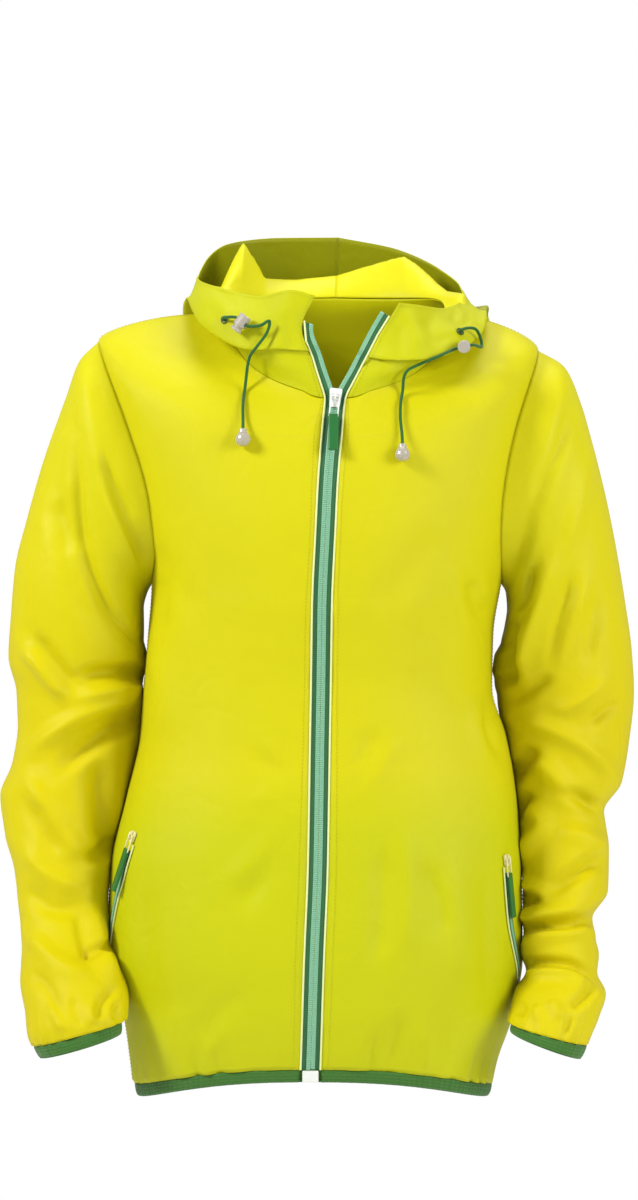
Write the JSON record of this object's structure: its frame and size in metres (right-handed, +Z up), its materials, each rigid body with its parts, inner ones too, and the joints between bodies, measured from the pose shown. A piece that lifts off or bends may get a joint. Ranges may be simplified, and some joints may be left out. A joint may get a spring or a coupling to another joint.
{
  "type": "rain jacket",
  "caption": "Hooded waterproof jacket in its worn, hollow form: full-length front zip, hood lying back, two zipped hand pockets, elastic-bound hem and cuffs, drawcords with locks.",
  "frame": {"origin": "middle of the neck and shoulder line, where the jacket hangs on its wearer", "axes": "+Z up, the jacket's length; +X to the viewer's right when its front is seen; +Y from its front to its back"},
  "size_m": [0.5462, 0.3224, 0.7551],
  "materials": {
    "shell_body": "crisp coated lime nylon",
    "shell_sleeve": "crisp coated yellow nylon",
    "shell_hood": "crisp coated lime nylon",
    "binding": "green stretch binding",
    "zip_tape": "woven green zip tape with nylon coil",
    "piping": "pale yellow piping",
    "white_plastic": "white coated slider and link",
    "puller": "moulded dark green",
    "cord": "round braided cord",
    "clear_plastic": "translucent moulding",
    "eyelet": "painted ring"
  },
  "bodies": {
    "root": {"front_left": "shell_body", "front_right": "shell_body", "back": "shell_body", "sleeve_left": "shell_sleeve", "cuff_binding_left": "binding", "sleeve_right": "shell_sleeve", "cuff_binding_right": "binding", "hood_left": "shell_hood", "hood_right": "shell_hood", "hem_binding": "binding", "zip_tape_left": "zip_tape", "zip_piping_left": "piping", "zip_tape_right": "zip_tape", "zip_piping_right": "piping", "zip_slider": "white_plastic", "zip_box": "white_plastic", "pocket_zip_left": "zip_tape", "pocket_piping_left": "piping", "pocket_slider_left": "white_plastic", "pocket_zip_right": "zip_tape", "pocket_piping_right": "piping", "pocket_slider_right": "white_plastic", "cord_left": "cord", "eyelet_left": "eyelet", "cordlock_body_left": "clear_plastic", "cord_end_left": "clear_plastic", "cord_right": "cord", "eyelet_right": "eyelet", "cordlock_body_right": "clear_plastic", "cord_end_right": "clear_plastic"},
    "zip_pull_body": {"zip_pull": "white_plastic", "zip_pull_grip": "puller"},
    "pocket_pull_left_body": {"pocket_pull_left": "white_plastic", "pocket_grip_left": "puller"},
    "pocket_pull_right_body": {"pocket_pull_right": "white_plastic", "pocket_grip_right": "puller"},
    "cordlock_plunger_left_body": {"cordlock_plunger_left": "clear_plastic"},
    "cordlock_plunger_right_body": {"cordlock_plunger_right": "clear_plastic"}
  },
  "joints": [
    {"name": "zip_pull_hinge", "type": "hinge", "parent": "root", "child": "zip_pull_body", "pos_m": [0.00417, -0.10321, -0.0883], "axis": [-0.9949, 0, 0.1007], "range_deg": [0, 150]},
    {"name": "pocket_pull_left_hinge", "type": "hinge", "parent": "root", "child": "pocket_pull_left_body", "pos_m": [-0.16766, -0.07089, -0.45581], "axis": [-0.5005, 0.8426, 0.1986], "range_deg": [0, 140]},
    {"name": "pocket_pull_right_hinge", "type": "hinge", "parent": "root", "child": "pocket_pull_right_body", "pos_m": [0.14973, -0.07078, -0.47589], "axis": [-0.5329, -0.8429, -0.0751], "range_deg": [0, 140]},
    {"name": "cordlock_press_left", "type": "slide", "parent": "root", "child": "cordlock_plunger_left_body", "axis": [0.6018, -0.1003, 0.7923], "range_m": [0, 0.002], "stiffness_N_per_m": 300, "springref_m": -0.002},
    {"name": "cordlock_press_right", "type": "slide", "parent": "root", "child": "cordlock_plunger_right_body", "axis": [0.102, 0.9895, 0.102], "range_m": [0, 0.002], "stiffness_N_per_m": 300, "springref_m": -0.002}
  ]
}
